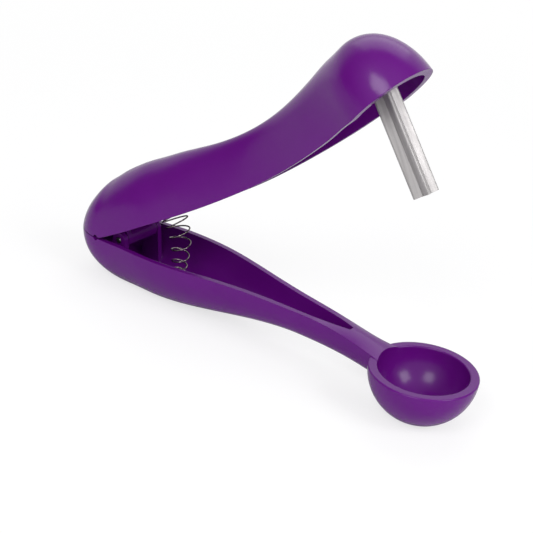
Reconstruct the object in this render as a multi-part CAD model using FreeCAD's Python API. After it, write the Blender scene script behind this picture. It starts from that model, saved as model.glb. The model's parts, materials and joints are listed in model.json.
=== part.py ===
import FreeCAD, Part
import math
import os
from FreeCAD import Vector

# A cherry pitter with a lever: two hollow moulded levers meet at a pinned heel,
# a spring holds them open, and a star rod under the domed head pushes the stone
# out through the hole in the cup's floor.
# All sizes are millimetres. The levers are drawn closed, with the cup's lip in
# the plane Z = 0 and X running from the heel to the cup. The upper lever is then
# swung open to its stop, and the whole is set down on its foot last.

# Cup
cup_radius = 20.0
cup_wall = 3.4
lip_round = 0.6
stone_hole_radius = 5.9
hole_lead_in = 0.9
foot_depth = 1.35

# Levers
reach = 145.8
heel_radius = 16.3
handle_wall = 2.2
rim_height = 4.3
lower_depth = 21.4
upper_depth = 22.9
belly_place = 12.0
fullness = 0.58
neck_crown = 1.0
stand_angle = 1.3

# Domed head
head_radius = 17.8
head_height = 24.6
head_wall = 3.3
head_rise = 11.95
head_tilt = 15.5

# Hinge
pivot_ahead = 8.0
pivot_height = 4.5
opening = 35.7
stop_gap = 0.35
pin_radius = 1.3
pin_fit = 0.02
pin_play = 0.15
pin_overhang = 0.4
pin_chamfer = 0.3
ear_radius = 3.4
ear_stem = 5.0
ear_root = 5.5
ear_thickness = 2.2
ear_play = 0.35
inner_ear_side = 6.2
notch_radius = 1.2

# Star rod
rod_side = 6.74
rod_groove = 1.15
rod_land = 0.8
rod_edge = 0.25
rod_past_foot = 2.9
rod_top = 31.0
socket_wall = 2.0
socket_mouth = 19.5
socket_play = 0.05
rib_thickness = 1.6
rib_step = 1.5

# Spring and its seats
wire = 0.6
spring_ahead = 31.6
small_coil_radius = 2.4
large_coil_radius = 5.4
coil_turns = 8
end_closing = 0.6
lower_seat_height = -7.0
upper_seat_inset = 2.0
seat_gap = 0.3
spigot_play = 0.35
spigot_height = 1.8
seat_shoulder = 1.5
seat_bore_wall = 1.6

# How far a cut runs past the face that it opens
past = 1.0

# Lower lever: share of the reach, rim height, half width, depth
LOWER_ARM = [
    (0.080, 4.8, 16.7, 21.2),
    (0.170, 5.3, 17.4, 21.4),
    (0.300, 5.8, 16.0, 20.0),
    (0.430, 5.9, 12.2, 16.7),
    (0.560, 5.2, 8.6, 13.0),
    (0.690, 4.3, 6.2, 11.5),
]
LOWER_NECK = [
    (0.770, 2.9, 5.6, 10.6),
    (0.850, 0.9, 5.9, 9.9),
    (0.905, -0.1, 7.4, 9.3),
]
# The channel runs out before the neck
CHANNEL_END = [
    (0.745, 3.3, 2.6, 6.2),
    (0.785, 2.5, 1.1, 2.0),
]

# Upper heel, as seen open: degrees round the heel, then how far the crown leans
# forwards and rises above the seam, as shares of the lever's depth
UPPER_HEEL = [
    (86, 0.01, 0.07),
    (72, 0.04, 0.25),
    (52, 0.07, 0.52),
    (30, 0.05, 0.76),
    (12, -0.01, 0.92),
    (0, -0.07, 0.99),
]
# Upper lever, closed: share of the reach, rim height, how far the crown leans
# forwards and rises above the rim, half width
UPPER_ARM = [
    (0.050, 7.9, 10.4, 21.1, 16.4),
    (0.110, 6.9, 7.5, 22.2, 16.2),
    (0.190, 5.9, 4.4, 22.7, 15.2),
    (0.250, 5.1, 2.6, 22.6, 13.7),
    (0.330, 4.2, 0.6, 22.4, 12.2),
    (0.450, 3.4, -0.8, 20.8, 8.7),
    (0.570, 3.5, -1.8, 19.5, 5.7),
    (0.700, 4.8, -3.0, 19.6, 7.0),
    (0.789, 6.3, -4.1, 20.8, 9.7),
    (0.872, 8.2, -5.1, 22.4, 12.4),
    (0.935, 9.9, -6.1, 23.4, 15.3),
]

# Places that follow from the sizes above
outer_ear_side = inner_ear_side + ear_thickness + ear_play
seam_height = rim_height + stop_gap
foot_height = -(cup_radius - foot_depth)
pivot = Vector(pivot_ahead, 0, pivot_height)
across = Vector(0, 1, 0)


def swung(x, z, degrees):
    """A point of the side view, turned up about the pivot."""
    angle = math.radians(degrees)
    dx = x - pivot_ahead
    dz = z - pivot_height
    return (
        pivot_ahead + dx * math.cos(angle) - dz * math.sin(angle),
        pivot_height + dx * math.sin(angle) + dz * math.cos(angle),
    )


def bezier(points):
    """One smooth edge from its control points."""
    curve = Part.BezierCurve()
    curve.setPoles(points)
    return curve.toShape()


def lever_section(station, rise, skirt=0.0, crown=0.0):
    """The D-shaped section of a lever: a full arch, closed along its rim.

    Rise is 1 for an arch that stands up and -1 for one that hangs down. A skirt
    carries the arch straight past the rim, to cut a hollow that is open there,
    and a crown bows the closing edge outwards.
    """
    x, z, tilt, w, depth = station
    angle = math.radians(tilt)
    inwards = Vector(-math.sin(angle), 0, math.cos(angle)) * rise

    def at(side, level):
        return Vector(x, side, z) + inwards * level

    near = bezier([at(-w, 0), at(-w, fullness * depth), at(-fullness * w, depth), at(0, depth)])
    far = bezier([at(0, depth), at(fullness * w, depth), at(w, fullness * depth), at(w, 0)])
    if skirt > 0:
        down = Part.makeLine(at(w, 0), at(w, -skirt))
        over = Part.makeLine(at(w, -skirt), at(-w, -skirt))
        up = Part.makeLine(at(-w, -skirt), at(-w, 0))
        return Part.Wire([near, far, down, over, up])
    bow = -crown * 4 / 3
    close = bezier([at(w, 0), at(w / 3, bow), at(-w / 3, bow), at(-w, 0)])
    return Part.Wire([near, far, close])


def belly(x, radius, depth):
    """How deep the heel is at x: a quarter ellipse, deepest at belly_place."""
    share = (belly_place - x) / (belly_place + radius)
    return depth * math.sqrt(1 - share * share)


def lower_heel_stations(radius, depth):
    """Stations round the lower heel, which is a half circle seen from above."""
    stations = []
    for degrees in (86, 72, 52, 30, 12, 0):
        x = -radius * math.sin(math.radians(degrees))
        half_width = radius * math.cos(math.radians(degrees))
        stations.append((x, rim_height, 0.0, half_width, belly(x, radius, depth)))
    return stations


def crowned_station(x, z, lean, rise, half_width):
    """A station whose crown leans and rises this far from the middle of its rim."""
    tilt = math.degrees(math.atan2(-lean, rise))
    return x, z, tilt, half_width, math.hypot(lean, rise)


def upper_heel_stations(radius, depth):
    """Stations round the upper heel, closed: the same half circle, swung down."""
    stations = []
    for degrees, lean, rise in UPPER_HEEL:
        open_x = -radius * math.sin(math.radians(degrees))
        half_width = radius * math.cos(math.radians(degrees))
        x, z = swung(open_x, seam_height, -opening)
        tilt = math.degrees(math.atan2(-lean, rise)) - opening
        stations.append((x, z, tilt, half_width, depth * math.hypot(lean, rise)))
    return stations


def thinner(stations, wall):
    """The stations of the hollow that leaves a wall this thick."""
    return [(x, z, tilt, w - wall, depth - wall) for x, z, tilt, w, depth in stations]


def head_stations(radius, height):
    """Stations that end the neck in the middle of the dome, on its opening's plane."""
    angle = math.radians(head_tilt)
    stations = []
    for share in (-0.28, -0.1, 0.0):
        x = reach + share * radius * math.cos(angle)
        z = head_rise + share * radius * math.sin(angle)
        half_width = radius * math.sqrt(1 - share * share)
        stations.append((x, z, head_tilt, half_width, height))
    return stations


def make_lever(stations, rise, crowned=0):
    """A solid lever, lofted through its stations from the back of the heel."""
    crowns = [0.0] * (len(stations) - crowned) + [neck_crown] * crowned
    sections = [lever_section(s, rise, crown=c) for s, c in zip(stations, crowns)]
    return Part.makeLoft(sections, True, False)


def make_hollow(stations, rise, skirt):
    """The hollow of a lever, run past its rim."""
    return Part.makeLoft([lever_section(s, rise, skirt=skirt) for s in stations], True, False)


def make_half_dome(radius, height, skirt):
    """The front half of the dome, turned about the axis of its opening."""
    angle = math.radians(head_tilt)
    up = Vector(-math.sin(angle), 0, math.cos(angle))
    centre = Vector(reach, 0, head_rise)

    def at(out, level):
        return centre - across * out + up * level

    arch = bezier([
        at(radius, 0),
        at(radius, fullness * height),
        at(fullness * radius, height),
        at(0, height),
    ])
    edges = [arch, Part.makeLine(at(0, height), at(0, -skirt))]
    edges.append(Part.makeLine(at(0, -skirt), at(radius, -skirt)))
    if skirt > 0:
        edges.append(Part.makeLine(at(radius, -skirt), at(radius, 0)))
    profile = Part.Face(Part.Wire(edges))
    return profile.revolve(centre, up, 180)


def y_bar(radius, x, z, y_from, y_to):
    """A round bar across the levers."""
    return Part.makeCylinder(radius, y_to - y_from, Vector(x, y_from, z), across)


def both_sides(shape):
    """The shape and its mirror image across the middle of the levers."""
    return shape.fuse(shape.mirror(Vector(0, 0, 0), across))


def make_legs(side, root_z):
    """The legs of a pair of hinge ears, from the pivot to a wider root."""
    outline = Part.makePolygon([
        Vector(pivot_ahead - ear_radius, side, pivot_height),
        Vector(pivot_ahead + ear_radius, side, pivot_height),
        Vector(pivot_ahead + ear_root, side, root_z),
        Vector(pivot_ahead - ear_root, side, root_z),
        Vector(pivot_ahead - ear_radius, side, pivot_height),
    ])
    return both_sides(Part.Face(outline).extrude(across * ear_thickness))


def make_eyes(side, towards):
    """The round eyes of a pair of ears, each with a short stem into its leg."""
    eye = y_bar(ear_radius, pivot_ahead, pivot_height, side, side + ear_thickness)
    low = pivot_height + min(towards * ear_stem, 0)
    corner = Vector(pivot_ahead - ear_radius, side, low)
    stem = Part.makeBox(2 * ear_radius, ear_thickness, ear_stem, corner)
    return both_sides(eye.fuse(stem))


def make_barrel():
    """The barrel between the upper ears, which covers the pin."""
    half = inner_ear_side + ear_thickness / 2
    return y_bar(ear_radius, pivot_ahead, pivot_height, -half, half)


def stand_box():
    """Everything below the plane that the pitter stands on."""
    size = 4 * reach
    corner = Vector(reach - size / 2, -size / 2, foot_height - size)
    box = Part.makeBox(size, size, size, corner)
    box.rotate(Vector(reach, 0, foot_height), across, stand_angle)
    return box


def rim_and_depth(stations, x):
    """The rim height and the depth of a lever at x, between its stations."""
    for before, after in zip(stations, stations[1:]):
        if before[0] <= x <= after[0]:
            share = (x - before[0]) / (after[0] - before[0])
            rim = before[1] + share * (after[1] - before[1])
            return rim, before[4] + share * (after[4] - before[4])
    raise ValueError("no station there")


def notch():
    """The round relief at each end of the seam where the levers meet."""
    width = 2 * heel_radius + 2 * past
    return y_bar(notch_radius, 0, rim_height + stop_gap / 2, -width / 2, width / 2)


def seam_trim(low):
    """A box that trims a heel flat along the seam, from this height upwards."""
    length = heel_radius + past
    return Part.makeBox(length, 2 * length, length, Vector(-length, -length, low))


def make_cup():
    """The cup: half a ball, hollowed, with a rounded lip."""
    centre = Vector(reach, 0, 0)
    ball = Part.makeSphere(cup_radius, centre, Vector(0, 0, 1), -90, 0)
    bowl = ball.cut(Part.makeSphere(cup_radius - cup_wall, centre))
    lip = [e for e in bowl.Edges if abs(e.BoundBox.ZMin) < 0.01 and e.BoundBox.XLength > cup_radius]
    return bowl.makeFillet(lip_round, lip)


def make_stone_hole():
    """The hole in the cup's floor, widened a little where the stone goes in."""
    inner = cup_radius - cup_wall
    down = Vector(0, 0, -1)
    hole = Part.makeCylinder(stone_hole_radius, 2 * cup_radius, Vector(reach, 0, 0), down)
    mouth = math.sqrt(inner ** 2 - (stone_hole_radius + hole_lead_in) ** 2)
    wide = stone_hole_radius + hole_lead_in
    lead_in = Part.makeCone(wide, stone_hole_radius, hole_lead_in, Vector(reach, 0, -mouth), down)
    return hole.fuse(lead_in)


def make_lower_lever():
    """The lever that the cup belongs to, with its ears and the spring's lower seat."""
    arm = [(s * reach, z, 0.0, w, depth) for s, z, w, depth in LOWER_ARM]
    neck = [(s * reach, z, 0.0, w, depth) for s, z, w, depth in LOWER_NECK]
    stations = lower_heel_stations(heel_radius, lower_depth) + arm + neck
    lever = make_lever(stations, -1, crowned=len(neck))

    inside = lower_heel_stations(heel_radius - handle_wall, lower_depth - handle_wall)
    inside += thinner(arm, handle_wall)
    inside += [(s * reach, z, 0.0, w, depth) for s, z, w, depth in CHANNEL_END]
    hollow = make_hollow(inside, -1, past + neck_crown)

    rim, depth = rim_and_depth(stations, spring_ahead)
    floor = rim - depth + handle_wall / 2
    seat = small_coil_radius + seat_shoulder
    place = Vector(spring_ahead, 0, floor)
    post = Part.makeCylinder(seat, lower_seat_height - floor, place)
    spigot = small_coil_radius - wire / 2 - spigot_play
    tip = Part.makeCylinder(spigot, lower_seat_height + spigot_height - floor, place)
    rim, depth = rim_and_depth(stations, pivot_ahead)
    legs = make_legs(outer_ear_side, rim - depth + handle_wall)

    standing = post.fuse(tip).fuse(legs)
    body = lever.cut(hollow.cut(standing))
    body = body.fuse(make_cup()).fuse(make_eyes(outer_ear_side, -1))
    body = body.cut(Part.makeSphere(cup_radius - cup_wall, Vector(reach, 0, 0)))
    body = body.cut(make_stone_hole())
    half = outer_ear_side + ear_thickness + past
    body = body.cut(y_bar(pin_radius + pin_fit, pivot_ahead, pivot_height, -half, half))
    return body.cut(notch()).cut(seam_trim(rim_height)).cut(stand_box())


def upper_stations(wall=0.0, dome_wall=0.0):
    """The stations of the upper lever, closed, as far as the dome's middle.

    With walls given they are those of its hollow, whose wall grows thicker in
    the head.
    """
    heel = upper_heel_stations(heel_radius - wall, upper_depth - wall)
    arm = [crowned_station(s * reach, z, lean, rise, w) for s, z, lean, rise, w in UPPER_ARM]
    dome = head_stations(head_radius - dome_wall, head_height - dome_wall)
    return heel + thinner(arm, wall) + dome


def star_face(grown, z):
    """The rod's section: a square whose four faces each carry a shallow groove."""
    half = rod_side / 2 + grown
    points = []
    for quarter in range(4):
        turn = math.radians(90 * quarter)
        for along, out in (
            (-half + rod_edge, half),
            (-half + rod_land, half),
            (0.0, half - rod_groove),
            (half - rod_land, half),
            (half - rod_edge, half),
        ):
            x = reach + along * math.cos(turn) + out * math.sin(turn)
            y = -along * math.sin(turn) + out * math.cos(turn)
            points.append(Vector(x, y, z))
    points.append(points[0])
    return Part.Face(Part.makePolygon(points))


def make_plunger():
    """The extruded star rod, from past the foot to the bottom of its socket."""
    low = foot_height - rod_past_foot
    return star_face(0.0, low).extrude(Vector(0, 0, rod_top - low))


def make_socket():
    """The boss under the dome that holds the rod, with four ribs to the dome."""
    radius = rod_side / math.sqrt(2) + socket_wall
    tall = head_rise + head_height
    boss = Part.makeCylinder(radius, tall - socket_mouth, Vector(reach, 0, socket_mouth))
    low = socket_mouth + rib_step
    length = 2 * head_radius
    corner = Vector(reach - head_radius, -rib_thickness / 2, low)
    along = Part.makeBox(length, rib_thickness, tall - low, corner)
    corner = Vector(reach - rib_thickness / 2, -head_radius, low)
    sideways = Part.makeBox(rib_thickness, length, tall - low, corner)
    return boss.fuse(along).fuse(sideways)


def make_upper_seat():
    """The hollow post that hangs from the lever's crown to take the wide coil."""
    rim, depth = rim_and_depth(upper_stations(), spring_ahead)
    seat = rim + upper_seat_inset
    top = rim + depth
    place = Vector(spring_ahead, 0, seat)
    post = Part.makeCylinder(large_coil_radius + seat_shoulder, top - seat, place)
    spigot_radius = large_coil_radius - wire / 2 - spigot_play
    low = Vector(spring_ahead, 0, seat - spigot_height)
    spigot = Part.makeCylinder(spigot_radius, top - seat + spigot_height, low)
    bore = Part.makeCylinder(spigot_radius - seat_bore_wall, top - low.z - handle_wall, low)
    return post.fuse(spigot).cut(bore)


def make_upper_lever():
    """The lever that carries the domed head, drawn closed."""
    lever = make_lever(upper_stations(), 1)
    lever = lever.fuse(make_half_dome(head_radius, head_height, 0))
    arm_hollow = make_hollow(upper_stations(handle_wall, head_wall), 1, past)
    dome_hollow = make_half_dome(head_radius - head_wall, head_height - head_wall, past)

    rim, depth = rim_and_depth(upper_stations(), pivot_ahead)
    legs = make_legs(inner_ear_side, rim + depth - 2 * handle_wall)
    hanging = make_socket().fuse(make_upper_seat()).fuse(legs)
    body = lever.cut(arm_hollow.cut(hanging)).cut(dome_hollow.cut(hanging))
    body = body.fuse(make_eyes(inner_ear_side, 1)).fuse(make_barrel())
    half = outer_ear_side + past
    body = body.cut(y_bar(pin_radius + pin_play, pivot_ahead, pivot_height, -half, half))
    recess = star_face(socket_play, socket_mouth - past)
    body = body.cut(recess.extrude(Vector(0, 0, rod_top + socket_play - socket_mouth + past)))
    relief = notch().fuse(seam_trim(seam_height - heel_radius - past))
    relief.rotate(pivot, across, opening)
    return body.cut(relief)


def make_hinge_pin():
    """The pin through the four ears, chamfered at both ends."""
    half = outer_ear_side + ear_thickness + pin_overhang
    pin = y_bar(pin_radius, pivot_ahead, pivot_height, -half, half)
    ends = [e for e in pin.Edges if abs(abs(e.CenterOfMass.y) - half) < 0.01]
    return pin.makeChamfer(pin_chamfer, ends)


def spring_axis(advance, lower_end, upper_end):
    """A point of the open spring's middle line, and the way it runs there.

    It rises from the lower seat, bends about the pivot by the opening and runs
    on to the upper seat. Advance goes from 0 to 1.
    """
    radius = spring_ahead - pivot_ahead
    lower_run = pivot_height - lower_end
    bend = radius * math.radians(opening)
    upper_run = upper_end - pivot_height
    way = advance * (lower_run + bend + upper_run)
    if way < lower_run:
        return spring_ahead, lower_end + way, 0.0
    if way < lower_run + bend:
        turned = math.degrees((way - lower_run) / radius)
        x, z = swung(spring_ahead, pivot_height, turned)
        return x, z, turned
    x, z = swung(spring_ahead, pivot_height + way - lower_run - bend, opening)
    return x, z, opening


def coil_point(turn, lower_end, upper_end):
    """A point of the spring's wire, after so many turns from its lower end."""
    share = turn / coil_turns
    advance = share - end_closing * math.sin(2 * math.pi * share) / (2 * math.pi)
    x, z, turned = spring_axis(advance, lower_end, upper_end)
    widening = min(max((turn - 1) / (coil_turns - 2), 0), 1)
    radius = small_coil_radius + (large_coil_radius - small_coil_radius) * widening
    angle = math.radians(turned)
    out = Vector(math.cos(angle), 0, math.sin(angle))
    round_about = 2 * math.pi * turn
    return Vector(x, 0, z) + out * (radius * math.cos(round_about)) + across * (
        radius * math.sin(round_about)
    )


def arc_from(start, heading, end):
    """The arc that leaves start along heading and reaches end."""
    chord = end - start
    side = chord - heading * chord.dot(heading)
    side.normalize()
    radius = chord.dot(chord) / (2 * chord.dot(side))
    centre = start + side * radius
    middle = (start - centre) + (end - centre)
    middle.normalize()
    return Part.Arc(start, centre + middle * radius, end).toShape()


def biarc(start, start_way, end, end_way):
    """Two arcs that join two points along the given headings."""
    chord = end - start
    ways = start_way + end_way
    bend = 2 * (1 - start_way.dot(end_way))
    along = chord.dot(ways)
    reach_out = (math.sqrt(along * along + bend * chord.dot(chord)) - along) / bend
    joint = (start + end + (start_way - end_way) * reach_out) * 0.5
    return [arc_from(start, start_way, joint), arc_from(end, end_way * -1, joint)]


def make_return_spring():
    """The conical spring as one tube along arcs of a quarter turn."""
    upper_rim = rim_and_depth(upper_stations(), spring_ahead)[0]
    lower_end = lower_seat_height + seat_gap + wire / 2
    upper_end = upper_rim + upper_seat_inset - seat_gap - wire / 2

    def point(turn):
        return coil_point(turn, lower_end, upper_end)

    def heading(turn):
        step = 0.01
        way = point(min(turn + step, coil_turns)) - point(max(turn - step, 0))
        way.normalize()
        return way

    edges = []
    stops = [step / 2 for step in range(2 * coil_turns + 1)]
    for before, after in zip(stops, stops[1:]):
        edges += biarc(point(before), heading(before), point(after), heading(after))
    path = Part.Wire(edges)
    profile = Part.Wire([Part.makeCircle(wire / 2, point(0), heading(0))])
    tube = path.makePipeShell([profile], True, False)

    per_turn = 48
    points = [point(step / per_turn) for step in range(per_turn * coil_turns + 1)]
    near = min(
        (one - other).Length
        for place, one in enumerate(points)
        for other in points[place + per_turn // 2:]
    )
    print("spring: least gap between its turns", round(near - wire, 2))
    return tube


def main():
    os.makedirs("parts", exist_ok=True)
    swinging = {"upper_lever": make_upper_lever(), "plunger": make_plunger()}
    for shape in swinging.values():
        shape.rotate(pivot, across, -opening)
    shapes = {
        "lower_lever": make_lower_lever(),
        "hinge_pin": make_hinge_pin(),
        "return_spring": make_return_spring(),
    }
    shapes.update(swinging)

    foot = Vector(reach, 0, foot_height)
    for shape in shapes.values():
        shape.rotate(foot, across, -stand_angle)
    bounds = [shape.optimalBoundingBox(False) for shape in shapes.values()]
    middle = (min(b.XMin for b in bounds) + max(b.XMax for b in bounds)) / 2
    shift = Vector(-middle, 0, -foot_height)
    turn = FreeCAD.Rotation(across, -stand_angle)
    for name, shape in shapes.items():
        shape.translate(shift)
        shape.exportStep("parts/" + name + ".step")
        print(name, "valid", shape.isValid(), "solids", len(shape.Solids),
              "volume", round(shape.Volume, 1))
    for label, place in (("pivot", pivot), ("cup lip centre", Vector(reach, 0, 0))):
        print(label, foot + turn.multVec(place - foot) + shift)


main()
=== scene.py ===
# %% [markdown]
# # A cherry pitter with a lever
#
# The tool is small: two glossy plastic levers on a pin, a bent wire spring between
# them and a grey metal rod under the domed head. Its shape is already made, to the
# real size, so this lesson is about what the eye sees: the gloss of moulded plastic,
# the streaks of extruded aluminium, a spring bent along its path, and soft light.
#
# The first cell loads the finished pieces as a fixed frame. They could be modelled
# again by hand, but then a hinge might drift away from its pin. Loading them keeps
# every fit as it was drawn, and leaves us the surfaces. Lengths are in metres, so a
# millimetre gets a short name.

# %% Load the pieces
import json
import math

import bpy
from mathutils import Matrix, Vector


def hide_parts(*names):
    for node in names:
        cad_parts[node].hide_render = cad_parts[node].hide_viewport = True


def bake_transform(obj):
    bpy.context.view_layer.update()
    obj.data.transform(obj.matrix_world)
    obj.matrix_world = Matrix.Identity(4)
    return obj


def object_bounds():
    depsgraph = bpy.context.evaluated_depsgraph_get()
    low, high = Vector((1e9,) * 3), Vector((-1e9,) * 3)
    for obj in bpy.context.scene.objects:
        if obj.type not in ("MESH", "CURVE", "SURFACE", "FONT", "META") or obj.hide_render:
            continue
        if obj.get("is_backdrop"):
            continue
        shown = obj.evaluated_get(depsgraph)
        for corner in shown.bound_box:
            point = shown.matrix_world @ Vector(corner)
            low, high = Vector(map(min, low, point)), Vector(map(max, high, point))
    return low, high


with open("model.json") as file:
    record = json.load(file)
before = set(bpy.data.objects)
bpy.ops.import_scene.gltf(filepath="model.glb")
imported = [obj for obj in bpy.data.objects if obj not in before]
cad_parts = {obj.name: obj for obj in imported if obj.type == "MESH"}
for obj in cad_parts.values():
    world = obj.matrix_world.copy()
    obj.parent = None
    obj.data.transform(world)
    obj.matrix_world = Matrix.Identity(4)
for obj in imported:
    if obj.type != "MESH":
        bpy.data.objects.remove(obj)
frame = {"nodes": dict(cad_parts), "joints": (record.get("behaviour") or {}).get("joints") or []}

MM = 0.001

lowest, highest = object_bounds()
drawn_box = [list(lowest), list(highest)]
print("pieces:", sorted(frame["nodes"]))
print("overall size in mm:", [
    round((high - low) / MM, 1) for low, high in zip(*drawn_box)
])

# %% [markdown]
# ## Helpers for shader nodes
#
# A material is a small graph of nodes. Building it by hand in code takes two lines for
# each node and one for each wire, so a few helpers shorten that. One adds a node and
# fills its sockets. Others make the sums, soft steps and colour mixes that come up
# again and again. The last turns a colour as a paint program shows it into the linear
# numbers that a renderer adds and multiplies; its five numbers are those of the usual
# screen curve, which is straight near black and bent above.

# %% Add nodes and convert colours
BRIGHTEST = 255
STRAIGHT_END = 0.04045
STRAIGHT_SLOPE = 12.92
CURVE_OFFSET = 0.055
CURVE_POWER = 2.4


def add(tree, kind, inputs=None, **settings):
    """A new node of this kind, with its settings and its input values."""
    node = tree.nodes.new(kind)
    for name, value in settings.items():
        setattr(node, name, value)
    for name, value in (inputs or {}).items():
        if isinstance(value, bpy.types.NodeSocket):
            tree.links.new(value, node.inputs[name])
        else:
            node.inputs[name].default_value = value
    return node


def new_group(name, inputs, outputs):
    """An empty node group with named sockets, and its tree, entry and exit."""
    tree = bpy.data.node_groups.new(name, "ShaderNodeTree")
    for label, kind, value in inputs:
        socket = tree.interface.new_socket(label, in_out="INPUT", socket_type=kind)
        socket.default_value = value
    for label, kind in outputs:
        tree.interface.new_socket(label, in_out="OUTPUT", socket_type=kind)
    entry = tree.nodes.new("NodeGroupInput")
    leave = tree.nodes.new("NodeGroupOutput")
    return tree, entry, leave


def new_material(name):
    """A material whose graph holds only an output, and its tree."""
    material = bpy.data.materials.new(name)
    material.use_nodes = True
    tree = material.node_tree
    tree.nodes.clear()
    return material, tree, tree.nodes.new("ShaderNodeOutputMaterial")


def calculate(tree, operation, *values, clamp=False):
    """The result of a sum on two or three numbers or sockets."""
    node = add(
        tree, "ShaderNodeMath", dict(enumerate(values)),
        operation=operation, use_clamp=clamp,
    )
    return node.outputs[0]


def remap(tree, value, low, high):
    """A 0 to 1 mask mapped evenly to the range from low to high."""
    node = add(tree, "ShaderNodeMapRange", {
        "Value": value,
        "To Min": low,
        "To Max": high,
    })
    return node.outputs["Result"]


def soft_step(tree, value, begin, end, low=0.0, high=1.0):
    """Low up to where the step begins, high from its end on, smooth between."""
    node = add(tree, "ShaderNodeMapRange", {
        "Value": value,
        "From Min": begin,
        "From Max": end,
        "To Min": low,
        "To Max": high,
    }, interpolation_type="SMOOTHSTEP")
    return node.outputs["Result"]


def along(tree, place, way):
    """How far a place lies along a direction."""
    node = add(tree, "ShaderNodeVectorMath", {0: place, 1: way}, operation="DOT_PRODUCT")
    return node.outputs["Value"]


def mix_colours(tree, mask, first, second):
    """The first colour where the mask is 0, the second where it is 1."""
    node = add(tree, "ShaderNodeMix", {
        "Factor": mask,
        "A": first,
        "B": second,
    }, data_type="RGBA")
    return node.outputs["Result"]


def linear(red, green, blue):
    """A colour given as 0 to 255 per channel, in linear light with full alpha."""
    channels = []
    for value in (red / BRIGHTEST, green / BRIGHTEST, blue / BRIGHTEST):
        if value <= STRAIGHT_END:
            channels.append(value / STRAIGHT_SLOPE)
        else:
            channels.append(((value + CURVE_OFFSET) / (1 + CURVE_OFFSET)) ** CURVE_POWER)
    return (*channels, 1.0)


print("middle grey in linear light:", round(linear(128, 128, 128)[0], 3))

# %% [markdown]
# ## Marks that several finishes share
#
# Nothing that has been handled is equally shiny all over. Fingers leave a faint haze,
# and it shows only where a highlight crosses it. The same soft mask serves the plastic
# and the aluminium, so it is a node group: built once, placed in each material with its
# own scale. It puts out a mask from 0 to 1 and lets the material choose what to do.
# Noise swings about a middle value, and the contrast pulls it away from there.

# %% Haze from handling
NOISE_MIDDLE = 0.5


def make_haze_group():
    tree, entry, leave = new_group(
        "Haze from handling",
        [("Scale", "NodeSocketFloat", 60.0), ("Contrast", "NodeSocketFloat", 1.0)],
        [("Mask", "NodeSocketFloat")],
    )
    place = add(tree, "ShaderNodeTexCoord")
    cloud = add(tree, "ShaderNodeTexNoise", {
        "Vector": place.outputs["Object"],
        "Scale": entry.outputs["Scale"],
        "Detail": 4.0,
        "Roughness": 0.55,
        "Distortion": 0.6,
    })
    centred = calculate(tree, "SUBTRACT", cloud.outputs["Fac"], NOISE_MIDDLE)
    spread = calculate(
        tree, "MULTIPLY_ADD", centred, entry.outputs["Contrast"], NOISE_MIDDLE, clamp=True,
    )
    tree.links.new(spread, leave.inputs["Mask"])
    return tree


haze_group = make_haze_group()
print("group:", haze_group.name)

# %% [markdown]
# Extruded, drawn and ground metal all show fine lines along the way the metal moved.
# The lines are noise squeezed in two directions and stretched in the third. The group
# turns the space first, so that one group serves the slanting rod, the wire and the
# pin: a material says which way its metal ran. A broader set of streaks lies under the
# fine one, at a share of its scale.

# %% Lines along drawn metal
BROAD_SHARE = 0.28


def make_drawn_lines_group():
    tree, entry, leave = new_group(
        "Lines along drawn metal",
        [
            ("Turn", "NodeSocketVector", (0.0, 0.0, 0.0)),
            ("Line Scale", "NodeSocketFloat", 900.0),
            ("Stretch", "NodeSocketFloat", 0.02),
        ],
        [("Fine", "NodeSocketFloat"), ("Broad", "NodeSocketFloat")],
    )
    place = add(tree, "ShaderNodeTexCoord")
    turned = add(tree, "ShaderNodeVectorRotate", {
        "Vector": place.outputs["Object"],
        "Rotation": entry.outputs["Turn"],
    }, rotation_type="EULER_XYZ")
    squeeze = add(tree, "ShaderNodeCombineXYZ", {
        "X": 1.0,
        "Y": 1.0,
        "Z": entry.outputs["Stretch"],
    })
    stretched = add(tree, "ShaderNodeVectorMath", {
        0: turned.outputs["Vector"],
        1: squeeze.outputs["Vector"],
    }, operation="MULTIPLY")
    fine = add(tree, "ShaderNodeTexNoise", {
        "Vector": stretched.outputs["Vector"],
        "Scale": entry.outputs["Line Scale"],
        "Detail": 3.0,
        "Roughness": 0.7,
    })
    broad = add(tree, "ShaderNodeTexNoise", {
        "Vector": stretched.outputs["Vector"],
        "Scale": calculate(tree, "MULTIPLY", entry.outputs["Line Scale"], BROAD_SHARE),
        "Detail": 2.0,
        "Roughness": 0.5,
    })
    tree.links.new(fine.outputs["Fac"], leave.inputs["Fine"])
    tree.links.new(broad.outputs["Fac"], leave.inputs["Broad"])
    return tree


drawn_lines_group = make_drawn_lines_group()
print("group:", drawn_lines_group.name)

# %% [markdown]
# ## Glossy purple moulding
#
# Each lever is one shot of purple plastic from a polished mould. Three small things
# make such plastic look real. Its colour drifts a little where the melt flowed, its
# shine is uneven where it was held, and it has a very low waviness, like the skin of
# an orange seen from far away, that bends reflections. The rims of the walls are thin
# and slightly rounded; a real edge always catches a bright line, so the Bevel node
# rounds the shading there without touching the mesh.

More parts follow.
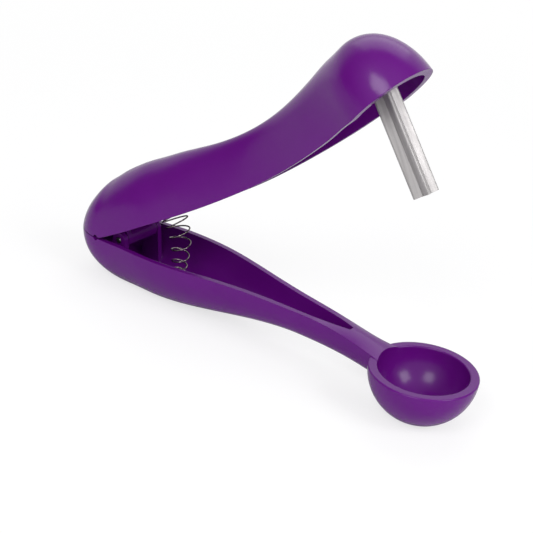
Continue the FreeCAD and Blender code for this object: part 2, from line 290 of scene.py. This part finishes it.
# %% Purple plastic
def make_lever_plastic():
    material, tree, out = new_material("Glossy purple moulding")
    haze = add(tree, "ShaderNodeGroup", node_tree=haze_group)
    haze.inputs["Scale"].default_value = 45.0
    haze.inputs["Contrast"].default_value = 2.0
    flow = add(tree, "ShaderNodeGroup", node_tree=haze_group)
    flow.inputs["Scale"].default_value = 14.0
    flow.inputs["Contrast"].default_value = 1.6
    place = add(tree, "ShaderNodeTexCoord")
    skin = add(tree, "ShaderNodeTexNoise", {
        "Vector": place.outputs["Object"],
        "Scale": 140.0,
        "Detail": 1.0,
    })
    rounded = add(tree, "ShaderNodeBevel", {"Radius": 0.3 * MM}, samples=6)
    waves = add(tree, "ShaderNodeBump", {
        "Strength": 0.04,
        "Distance": 0.25 * MM,
        "Height": skin.outputs["Fac"],
        "Normal": rounded.outputs["Normal"],
    })
    plastic = add(tree, "ShaderNodeBsdfPrincipled", {
        "Base Color": mix_colours(
            tree, flow.outputs["Mask"], linear(86, 8, 109), linear(94, 12, 118),
        ),
        "Roughness": remap(tree, haze.outputs["Mask"], 0.16, 0.26),
        "IOR": 1.5,
        "Specular IOR Level": 0.25,
        "Normal": waves.outputs["Normal"],
    })
    tree.links.new(plastic.outputs["BSDF"], out.inputs["Surface"])
    return material


lever_plastic = make_lever_plastic()
for name in ("lower_lever", "upper_lever"):
    frame["nodes"][name].data.materials[0] = lever_plastic
print("plastic on both levers")

# %% [markdown]
# ## Extruded aluminium
#
# The rod is cut from a bar that was pressed through a star-shaped die, so its streaks
# all run along it. It leans with the head, and the streaks must lean too: its tilt is
# read from its own mesh, as the line from the middle of one end to the other. The cut
# ends are rougher, but they are too small here to need a finish of their own.

# %% Rod tilt and aluminium
END_LENGTH = 2.5 * MM


def rod_tilt():
    """The angle of the rod about the Y axis, away from upright."""
    points = [vertex.co for vertex in frame["nodes"]["plunger"].data.vertices]
    low_z = min(point.z for point in points)
    high_z = max(point.z for point in points)
    low = [point for point in points if point.z < low_z + END_LENGTH]
    high = [point for point in points if point.z > high_z - END_LENGTH]
    middle_low = sum(low, Vector()) / len(low)
    middle_high = sum(high, Vector()) / len(high)
    return math.atan2(middle_high.x - middle_low.x, middle_high.z - middle_low.z)


def make_rod_aluminium(tilt):
    material, tree, out = new_material("Extruded aluminium")
    lines = add(tree, "ShaderNodeGroup", node_tree=drawn_lines_group)
    lines.inputs["Turn"].default_value = (0.0, -tilt, 0.0)
    lines.inputs["Line Scale"].default_value = 1500.0
    lines.inputs["Stretch"].default_value = 0.03
    haze = add(tree, "ShaderNodeGroup", node_tree=haze_group)
    haze.inputs["Scale"].default_value = 120.0
    haze.inputs["Contrast"].default_value = 2.5
    rounded = add(tree, "ShaderNodeBevel", {"Radius": 0.2 * MM}, samples=6)
    scratches = add(tree, "ShaderNodeBump", {
        "Strength": 0.3,
        "Distance": 0.06 * MM,
        "Height": lines.outputs["Fine"],
        "Normal": rounded.outputs["Normal"],
    })
    metal = add(tree, "ShaderNodeBsdfPrincipled", {
        "Base Color": mix_colours(
            tree, lines.outputs["Broad"], linear(120, 117, 117), linear(226, 223, 223),
        ),
        "Metallic": 1.0,
        "Roughness": calculate(
            tree, "ADD",
            remap(tree, lines.outputs["Fine"], 0.44, 0.64),
            remap(tree, haze.outputs["Mask"], 0.0, 0.08),
        ),
        "Normal": scratches.outputs["Normal"],
    })
    tree.links.new(metal.outputs["BSDF"], out.inputs["Surface"])
    return material


lean = rod_tilt()
frame["nodes"]["plunger"].data.materials[0] = make_rod_aluminium(lean)
print("rod leans by", round(math.degrees(lean), 1), "degrees")

# %% [markdown]
# ## Steel for the pin and the spring
#
# The pin is ground steel and the spring is bright drawn wire. They are the same metal
# with different lines, so one function makes both. The pin's lines run along Y; the
# wire winds all ways, so its lines are short flecks instead.

# %% Steel
STEEL_LINE_SCALE = 2200.0


def make_steel(name, turn, stretch, dark, bright, smooth, rough):
    material, tree, out = new_material(name)
    lines = add(tree, "ShaderNodeGroup", node_tree=drawn_lines_group)
    lines.inputs["Turn"].default_value = turn
    lines.inputs["Line Scale"].default_value = STEEL_LINE_SCALE
    lines.inputs["Stretch"].default_value = stretch
    metal = add(tree, "ShaderNodeBsdfPrincipled", {
        "Base Color": mix_colours(tree, lines.outputs["Broad"], dark, bright),
        "Metallic": 1.0,
        "Roughness": remap(tree, lines.outputs["Fine"], smooth, rough),
    })
    tree.links.new(metal.outputs["BSDF"], out.inputs["Surface"])
    return material


pin_steel = make_steel(
    "Ground steel pin", turn=(math.pi / 2, 0.0, 0.0), stretch=0.05,
    dark=linear(96, 94, 98), bright=linear(140, 138, 142), smooth=0.30, rough=0.46,
)
spring_steel = make_steel(
    "Drawn spring wire", turn=(0.0, 0.0, 0.0), stretch=0.6,
    dark=linear(66, 58, 60), bright=linear(168, 156, 156), smooth=0.12, rough=0.26,
)
frame["nodes"]["hinge_pin"].data.materials[0] = pin_steel
print("steel:", pin_steel.name, "and", spring_steel.name)

# %% [markdown]
# ## The bent spring
#
# The spring is a cone of wire: small coils in the lower lever, wide coils in the upper
# one. It is drawn anew for the levers as they stand open, and the loaded copy is hidden.
# A frozen copy would stab the upper lever when the tool is squeezed.
#
# The middle line first runs straight up from its seat, then bends in an arc about the
# hinge, as far as the levers are open, and ends square to the upper seat. The helix
# keeps its radius for a turn at each end and widens between them, and its coils lie
# closer together near both ends than in the middle.

# %% The spring's middle line
HINGE = Vector(frame["joints"][0]["pos_m"])
STAND = math.radians(-1.3)
OPENING = math.radians(35.7)
SPRING_AHEAD = 23.6 * MM
LOWER_END = -10.9 * MM
UPPER_END = 2.44 * MM
WIRE_RADIUS = 0.3 * MM
SMALL_COIL = 2.4 * MM
LARGE_COIL = 5.4 * MM
COIL_TURNS = 8
EVEN_TURNS = 1
END_CLOSING = 0.6


def from_hinge(out, up, turned):
    """A point beside the hinge, in a frame turned up by an angle about it."""
    angle = turned - STAND
    return HINGE + Vector((
        out * math.cos(angle) - up * math.sin(angle),
        0.0,
        out * math.sin(angle) + up * math.cos(angle),
    ))


def spring_middle(advance):
    """A point of the middle line at 0 to 1 of its length, and its turn there."""
    lower_run = -LOWER_END
    bend = SPRING_AHEAD * OPENING
    way = advance * (lower_run + bend + UPPER_END)
    if way < lower_run:
        return SPRING_AHEAD, LOWER_END + way, 0.0
    if way < lower_run + bend:
        return SPRING_AHEAD, 0.0, (way - lower_run) / SPRING_AHEAD
    return SPRING_AHEAD, way - lower_run - bend, OPENING


def wire_point(turn):
    """A point of the wire after so many turns from its lower end."""
    share = turn / COIL_TURNS
    advance = share - END_CLOSING * math.sin(2 * math.pi * share) / (2 * math.pi)
    out, up, turned = spring_middle(advance)
    widening = min(max((turn - EVEN_TURNS) / (COIL_TURNS - 2 * EVEN_TURNS), 0), 1)
    radius = SMALL_COIL + (LARGE_COIL - SMALL_COIL) * widening
    around = 2 * math.pi * turn
    place = from_hinge(out + radius * math.cos(around), up, turned)
    return place + Vector((0.0, radius * math.sin(around), 0.0))


print("spring starts at", [round(value / MM, 1) for value in wire_point(0)], "mm")

# %% [markdown]
# A tube needs a ring of points at each step along the line. The ring must not spin as
# it goes, or the wire would look twisted, so each ring takes its sideways direction
# from the one before it. At each end two smaller rings round the wire off, and a small
# flat face closes it.

# %% The spring's wire
STEPS_PER_TURN = 36
WIRE_SIDES = 12
CAP_RINGS = ((0.5, 0.87), (0.87, 0.5))


def tube_rings(points):
    """For each point: the point, its forward way and a steady sideways way."""
    rings = []
    side = Vector((0.0, 1.0, 0.0))
    earlier = points[:1] + points
    later = points[1:] + points[-1:]
    for before, here, after in zip(earlier, points, later):
        forward = (after - before).normalized()
        side = (side - forward * side.dot(forward)).normalized()
        rings.append((here, forward, side.copy()))
    return rings


def cap(ring, way):
    """Rings that shrink beyond an end of the wire, forward for 1 and back for -1."""
    here, forward, side = ring
    return [
        (here + forward * WIRE_RADIUS * (way * on), forward, side, WIRE_RADIUS * share)
        for on, share in CAP_RINGS
    ]


def make_spring_mesh():
    count = COIL_TURNS * STEPS_PER_TURN
    rings = tube_rings([wire_point(step / STEPS_PER_TURN) for step in range(count + 1)])
    start = cap(rings[0], -1)[::-1]
    sized = start + [(*ring, WIRE_RADIUS) for ring in rings] + cap(rings[-1], 1)
    vertices, faces = [], []
    for here, forward, side, radius in sized:
        up = forward.cross(side)
        for corner in range(WIRE_SIDES):
            angle = 2 * math.pi * corner / WIRE_SIDES
            spoke = side * math.cos(angle) + up * math.sin(angle)
            vertices.append(here + spoke * radius)
    for ring in range(len(sized) - 1):
        low, high = ring * WIRE_SIDES, (ring + 1) * WIRE_SIDES
        for corner in range(WIRE_SIDES):
            after = (corner + 1) % WIRE_SIDES
            faces.append((low + corner, low + after, high + after, high + corner))
    last = (len(sized) - 1) * WIRE_SIDES
    faces.append(tuple(reversed(range(WIRE_SIDES))))
    faces.append(tuple(range(last, last + WIRE_SIDES)))
    mesh = bpy.data.meshes.new("spring_wire")
    mesh.from_pydata(vertices, [], faces)
    mesh.polygons.foreach_set("use_smooth", [True] * len(mesh.polygons))
    mesh.materials.append(spring_steel)
    return mesh


spring_wire = bpy.data.objects.new("spring_wire", make_spring_mesh())
bpy.context.scene.collection.objects.link(spring_wire)
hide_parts("return_spring")
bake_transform(spring_wire)
print("spring wire faces:", len(spring_wire.data.polygons))

# %% [markdown]
# ## A pale floor
#
# A white background has two parts. The floor is a large pale sheet that takes the
# tool's soft shadow. Further out it must melt into plain white, or its far edge would
# show as a line. The material does that: an even glow of strength one, which is white
# to the camera and lights nothing, lies over an ordinary pale surface. Near the tool it
# covers a part of it, so the shadow stays, and further out it covers all.
#
# Gloss sees the floor as well. Behind the tool the floor melts to the same white in
# reflections, so edges turned that way shine as they do in a white studio. On the
# camera's side it stays an ordinary sheet, but gloss sees it in a greyer colour than
# the camera does: a painted shade in the reflections, which keeps the flanks deep purple.

# %% Floor
FLOOR_SIZE = 6.0
SHADOW_REACH = 0.12
WHITE_FROM = 0.60
NEAR_WHITE = 0.72
MIRRORED_FROM = 0.20
MIRRORED_WHITE = 0.70
SWEEP_SIDE = (-0.556, 0.831, 0.0)
PAPER_SEEN = linear(251, 251, 252)
# The paper as gloss sees it is greyer than the paper the camera sees: painted shade in the
# reflections.
PAPER_SHADED_FOR_GLOSS = linear(214, 214, 215)


def make_floor_material():
    material, tree, out = new_material("Pale studio floor")
    place = add(tree, "ShaderNodeTexCoord").outputs["Object"]
    rays = add(tree, "ShaderNodeLightPath")
    away = add(tree, "ShaderNodeVectorMath", {0: place}, operation="LENGTH")
    melt = soft_step(tree, away.outputs["Value"], SHADOW_REACH, WHITE_FROM, low=NEAR_WHITE)
    mirrored = soft_step(
        tree, along(tree, place, SWEEP_SIDE), MIRRORED_FROM, MIRRORED_WHITE,
    )
    melt_mirrored = calculate(tree, "MULTIPLY", mirrored, rays.outputs["Is Glossy Ray"])
    melt_seen = calculate(
        tree, "MULTIPLY_ADD", melt, rays.outputs["Is Camera Ray"], melt_mirrored, clamp=True,
    )
    # Gloss rays get the greyer paper: painted shade in the tool's reflections.
    paper = add(tree, "ShaderNodeBsdfDiffuse", {
        "Color": mix_colours(
            tree, rays.outputs["Is Glossy Ray"], PAPER_SEEN, PAPER_SHADED_FOR_GLOSS,
        ),
    })
    white = add(tree, "ShaderNodeEmission", {"Strength": 1.0})
    mix = add(tree, "ShaderNodeMixShader", {
        "Fac": melt_seen,
        1: paper.outputs["BSDF"],
        2: white.outputs["Emission"],
    })
    tree.links.new(mix.outputs["Shader"], out.inputs["Surface"])
    return material


def make_floor():
    mesh = bpy.data.meshes.new("studio_floor")
    half = FLOOR_SIZE / 2
    mesh.from_pydata(
        [(-half, -half, 0.0), (half, -half, 0.0), (half, half, 0.0), (-half, half, 0.0)],
        [],
        [(0, 1, 2, 3)],
    )
    mesh.materials.append(make_floor_material())
    floor = bpy.data.objects.new("studio_floor", mesh)
    bpy.context.scene.collection.objects.link(floor)
    floor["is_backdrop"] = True


make_floor()
print("floor is", FLOOR_SIZE, "m across")

# %% [markdown]
# ## Soft studio light
#
# Gloss is only as good as what it reflects. Two small soft boxes stand in front, one to
# the left and one to the right of the camera: they make the two pale spots in the cup
# and the one on the head. A wide soft box hangs high behind the tool. It draws the
# light band along the crown and over the head, and because it is not straight above, it
# leaves the front of the head dark.

# %% Lamps
TOOL_MIDDLE = Vector((0.0, 0.0, 0.04))


def soft_box(name, place, width, height, watts):
    """A rectangular lamp that looks at the middle of the tool."""
    data = bpy.data.lights.new(name, "AREA")
    data.shape = "RECTANGLE"
    data.size = width
    data.size_y = height
    data.energy = watts
    lamp = bpy.data.objects.new(name, data)
    lamp.location = place
    lamp.rotation_mode = "QUATERNION"
    lamp.rotation_quaternion = (TOOL_MIDDLE - Vector(place)).to_track_quat("-Z", "Y")
    bpy.context.scene.collection.objects.link(lamp)


soft_box("box_left", (0.09, -0.64, 0.66), width=0.36, height=0.36, watts=2.8)
soft_box("box_right", (0.74, 0.00, 0.62), width=0.38, height=0.38, watts=3.0)
soft_box("box_behind", (-0.40, 0.55, 0.96), width=1.20, height=0.84, watts=4.4)
print("lamps:", len(bpy.data.lights))

# %% [markdown]
# ## Light from the room
#
# Lamps alone leave a hollow black. In a real studio the walls throw light back into it.
# This room is dim low down and lighter high up, with one pale wall behind the camera
# that fills the cup and the channel. On the far side hangs a white paper sweep, which
# only reflections see. Where the camera itself looks past the floor, it sees white.
#
# All of it depends only on the way a ray goes. The room's pair of heights, the wall's
# and the sweep's edges are measured along that way, from 0 for sideways on to 1 for
# straight at them.

# %% Room light
ROOM_HEIGHTS = (0.05, 0.85)
ROOM_DIM = 0.10
ROOM_LIGHT = 0.25
WALL_SIDE = (0.64, -0.70, 0.32)
WALL_EDGES = (0.0, 0.9)
WALL_LIGHT = 0.78
SWEEP_EDGES = (0.15, 0.55)


def make_room():
    world = bpy.data.worlds.new("pale_room")
    world.use_nodes = True
    tree = world.node_tree
    tree.nodes.clear()
    out = tree.nodes.new("ShaderNodeOutputWorld")
    way = add(tree, "ShaderNodeTexCoord").outputs["Generated"]
    parts = add(tree, "ShaderNodeSeparateXYZ", {"Vector": way})
    rays = add(tree, "ShaderNodeLightPath")
    height = soft_step(
        tree, parts.outputs["Z"], *ROOM_HEIGHTS, low=ROOM_DIM, high=ROOM_LIGHT,
    )
    wall = soft_step(tree, along(tree, way, WALL_SIDE), *WALL_EDGES, high=WALL_LIGHT)
    sweep = soft_step(tree, along(tree, way, SWEEP_SIDE), *SWEEP_EDGES)
    white_seen = calculate(
        tree, "MULTIPLY_ADD",
        sweep, rays.outputs["Is Glossy Ray"], rays.outputs["Is Camera Ray"], clamp=True,
    )
    strength = add(tree, "ShaderNodeMix", {
        "Factor": white_seen,
        "A": calculate(tree, "ADD", height, wall),
        "B": 1.0,
    })
    room = add(tree, "ShaderNodeBackground", {
        "Color": linear(255, 255, 255),
        "Strength": strength.outputs["Result"],
    })
    tree.links.new(room.outputs["Background"], out.inputs["Surface"])
    bpy.context.scene.world = world


make_room()
bpy.context.scene.view_settings.view_transform = "Standard"
print("view transform:", bpy.context.scene.view_settings.view_transform)

# %% [markdown]
# ## The camera
#
# The photo was taken from the right front, a little above, with the camera rolled by
# some degrees, so that the lower lever runs downhill. The place is kept as a real
# photographer would give it: which way round the tool, how high, how far, how rolled,
# and where it points.

# %% Camera
VIEW_ROUND = math.radians(33.78)
VIEW_ABOVE = math.radians(26.68)
VIEW_ROLL = math.radians(7.55)
VIEW_DISTANCE = 451.3 * MM
VIEW_AIM = Vector((-1.2 * MM, 0.0, 30.8 * MM))
LENS = 80.24
SENSOR = 36.0
NEAREST = 0.01
FARTHEST = 20.0


def make_camera():
    back = Vector((
        math.sin(VIEW_ROUND) * math.cos(VIEW_ABOVE),
        -math.cos(VIEW_ROUND) * math.cos(VIEW_ABOVE),
        math.sin(VIEW_ABOVE),
    ))
    level = Vector((math.cos(VIEW_ROUND), math.sin(VIEW_ROUND), 0.0))
    upright = back.cross(level)
    right = level * math.cos(VIEW_ROLL) + upright * math.sin(VIEW_ROLL)
    up = back.cross(right)
    data = bpy.data.cameras.new("photo_camera")
    data.lens = LENS
    data.sensor_width = SENSOR
    data.clip_start = NEAREST
    data.clip_end = FARTHEST
    camera = bpy.data.objects.new("photo_camera", data)
    turn = Matrix((right, up, back)).transposed().to_4x4()
    camera.matrix_world = Matrix.Translation(VIEW_AIM + back * VIEW_DISTANCE) @ turn
    bpy.context.scene.collection.objects.link(camera)
    bpy.context.scene.camera = camera
    return camera


camera = make_camera()
print("camera at", [round(value, 3) for value in camera.location], "m")

# %% [markdown]
# ## Last look at the size
#
# The box around everything shown is measured again and set against the box of the
# drawn tool, before and after, and the most by which it grew is printed.

# %% Compare sizes and finish
lowest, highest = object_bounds()
growth = [drawn - shown for drawn, shown in zip(drawn_box[0], lowest)]
growth += [shown - drawn for drawn, shown in zip(drawn_box[1], highest)]
print("grew by at most", round(max(growth) / MM, 2), "mm")
